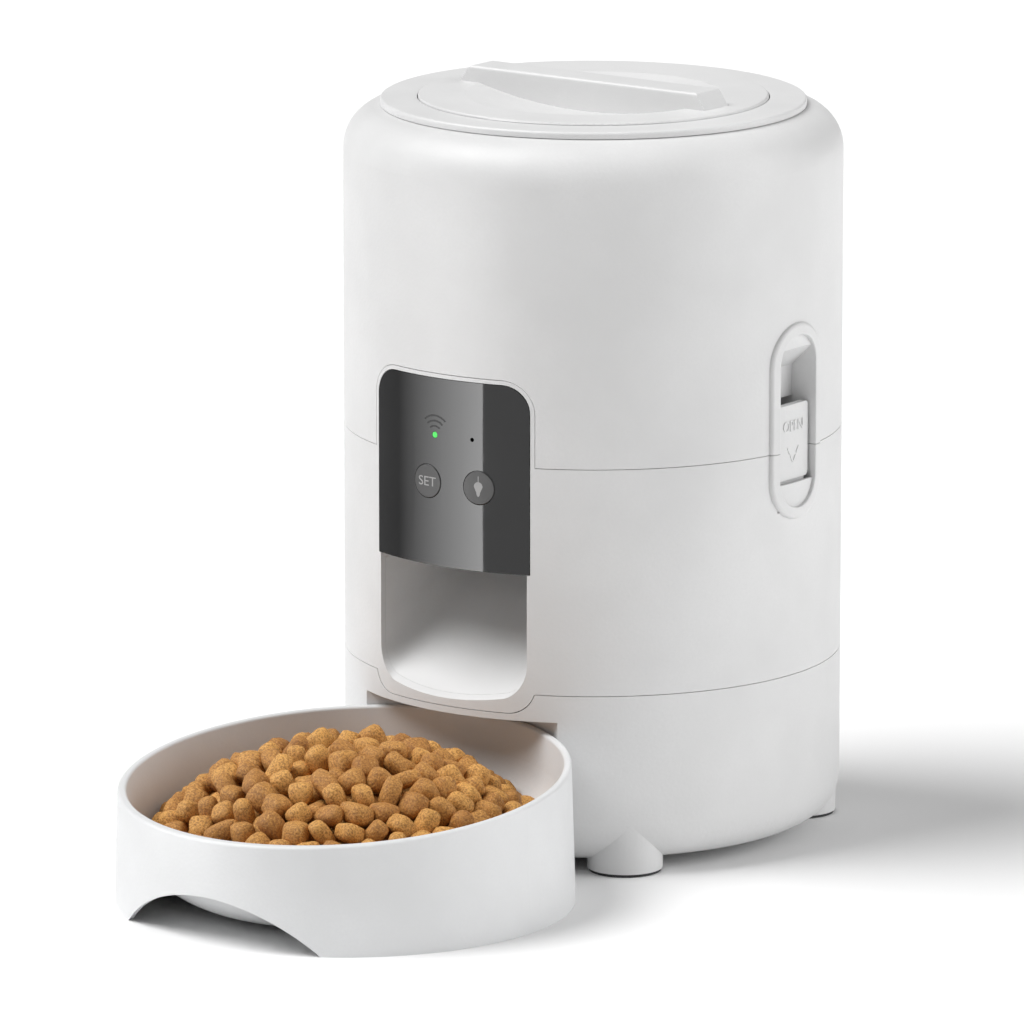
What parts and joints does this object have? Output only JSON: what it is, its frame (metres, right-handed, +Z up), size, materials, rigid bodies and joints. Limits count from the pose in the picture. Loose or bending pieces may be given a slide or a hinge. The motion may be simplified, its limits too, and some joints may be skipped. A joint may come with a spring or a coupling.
{
  "type": "automatic pet feeder",
  "caption": "Round tower pet feeder: lift-off lid with turning grip, hopper, motor-driven paddle rotor, sloping chute, control panel, side latches and a removable bowl.",
  "frame": {"origin": "on the floor, on the tower's axis", "axes": "+Z up, the front with the panel, chute and bowl faces -Y, +X to the right of the viewer in front"},
  "size_m": [0.193, 0.3361, 0.2894],
  "materials": {
    "white_plastic": "fine spark-eroded satin texture",
    "lid_plastic": "satin",
    "bowl_plastic": "fine satin texture",
    "panel_black": "polished",
    "button_black": "satin",
    "clear_plastic": "polished light pipe",
    "inner_plastic": "plain moulded",
    "chute_plastic": "smooth moulded",
    "gear_acetal": "natural acetal",
    "grey_plastic": "plain moulded",
    "rubber_grey": "matt",
    "silicone_white": "matt",
    "steel": "plated",
    "brass": "turned",
    "circuit_green": "solder mask",
    "cell_sleeve": "printed sleeve",
    "pack_paper": "non-woven sachet"
  },
  "bodies": {
    "tower": {"base_shell": "white_plastic", "mid_housing": "white_plastic", "hopper_shell": "white_plastic", "control_panel": "panel_black", "light_pipe": "clear_plastic", "hopper_bin": "inner_plastic", "deck_plate": "inner_plastic", "metering_drum": "inner_plastic", "portion_guard": "inner_plastic", "gear_case": "inner_plastic", "latch_guide_right": "inner_plastic", "latch_guide_left": "inner_plastic", "battery_tray": "inner_plastic", "chute": "chute_plastic", "chute_emitter": "grey_plastic", "chute_receiver": "grey_plastic", "speaker": "grey_plastic", "power_inlet": "grey_plastic", "tact_switches": "grey_plastic", "microphone": "grey_plastic", "foot_pad_front_right": "rubber_grey", "foot_pad_rear_right": "rubber_grey", "foot_pad_rear_left": "rubber_grey", "foot_pad_front_left": "rubber_grey", "guard_wipers": "silicone_white", "idler_axle": "steel", "drive_motor": "steel", "board_screws": "steel", "deck_screws": "steel", "gear_case_screws": "steel", "battery_contacts": "steel", "radio_module": "steel", "rotor_bush": "brass", "control_board": "circuit_green", "battery_cells": "cell_sleeve"},
    "bowl": {"bowl": "bowl_plastic"},
    "lid": {"lid_plate": "lid_plastic", "lid_seal": "silicone_white", "desiccant_cup": "inner_plastic", "desiccant_cover": "inner_plastic", "desiccant_pack": "pack_paper"},
    "knob": {"lid_knob": "lid_plastic", "knob_retainer": "steel"},
    "set_button": {"set_button": "button_black"},
    "feed_button": {"feed_button": "button_black"},
    "rotor": {"paddle_rotor": "grey_plastic", "stirrer": "silicone_white", "rotor_shaft": "steel", "drive_gear": "gear_acetal"},
    "idler": {"idler_gear": "gear_acetal"},
    "motor": {"motor_pinion": "brass", "motor_shaft": "steel"},
    "slider_right": {"latch_slider_right": "white_plastic", "latch_spring_right": "steel"},
    "slider_left": {"latch_slider_left": "white_plastic", "latch_spring_left": "steel"},
    "bolt_right": {"latch_bolt_right": "gear_acetal"},
    "bolt_left": {"latch_bolt_left": "gear_acetal"},
    "battery_door": {"battery_door": "inner_plastic"}
  },
  "joints": [
    {"name": "bowl_slide", "type": "slide", "parent": "tower", "child": "bowl", "axis": [0, -1, 0], "range_m": [0, 0.06]},
    {"name": "lid_lift", "type": "slide", "parent": "tower", "child": "lid", "axis": [0, 0, 1], "range_m": [0, 0.09]},
    {"name": "knob_turn", "type": "hinge", "parent": "lid", "child": "knob", "pos_m": [0, 0, 0.27], "axis": [0, 0, -1], "range_deg": [0, 45]},
    {"name": "set_press", "type": "slide", "parent": "tower", "child": "set_button", "axis": [0, 1, 0], "range_m": [0, 0.0008], "stiffness_N_per_m": 1500},
    {"name": "feed_press", "type": "slide", "parent": "tower", "child": "feed_button", "axis": [0, 1, 0], "range_m": [0, 0.0008], "stiffness_N_per_m": 1500},
    {"name": "rotor_spin", "type": "hinge", "parent": "tower", "child": "rotor", "pos_m": [0, 0, 0.13], "axis": [0, 0, 1], "continuous": true},
    {"name": "idler_spin", "type": "hinge", "parent": "tower", "child": "idler", "pos_m": [0, 0.02755, 0.1], "axis": [0, 0, 1], "continuous": true},
    {"name": "motor_spin", "type": "hinge", "parent": "tower", "child": "motor", "pos_m": [0, 0.0526, 0.1], "axis": [0, 0, 1], "continuous": true},
    {"name": "latch_right", "type": "slide", "parent": "tower", "child": "slider_right", "axis": [0, 0, -1], "range_m": [0, 0.0055], "stiffness_N_per_m": 350, "springref_m": -0.002, "deforming": ["latch_spring_right"]},
    {"name": "latch_left", "type": "slide", "parent": "tower", "child": "slider_left", "axis": [0, 0, -1], "range_m": [0, 0.0055], "stiffness_N_per_m": 350, "springref_m": -0.002, "deforming": ["latch_spring_left"]},
    {"name": "bolt_right", "type": "slide", "parent": "tower", "child": "bolt_right", "axis": [1, 0, 0], "range_m": [0, 0.0055]},
    {"name": "bolt_left", "type": "slide", "parent": "tower", "child": "bolt_left", "axis": [-1, 0, 0], "range_m": [0, 0.0055]},
    {"name": "battery_door_slide", "type": "slide", "parent": "tower", "child": "battery_door", "axis": [0, 1, 0], "range_m": [0, 0.0065]}
  ],
  "couplings": [
    {"joint": "idler_spin", "follows": "rotor_spin", "ratio": -3.4},
    {"joint": "motor_spin", "follows": "rotor_spin", "ratio": 10.2},
    {"joint": "bolt_right", "follows": "latch_right", "ratio": 1},
    {"joint": "bolt_left", "follows": "latch_left", "ratio": 1}
  ]
}
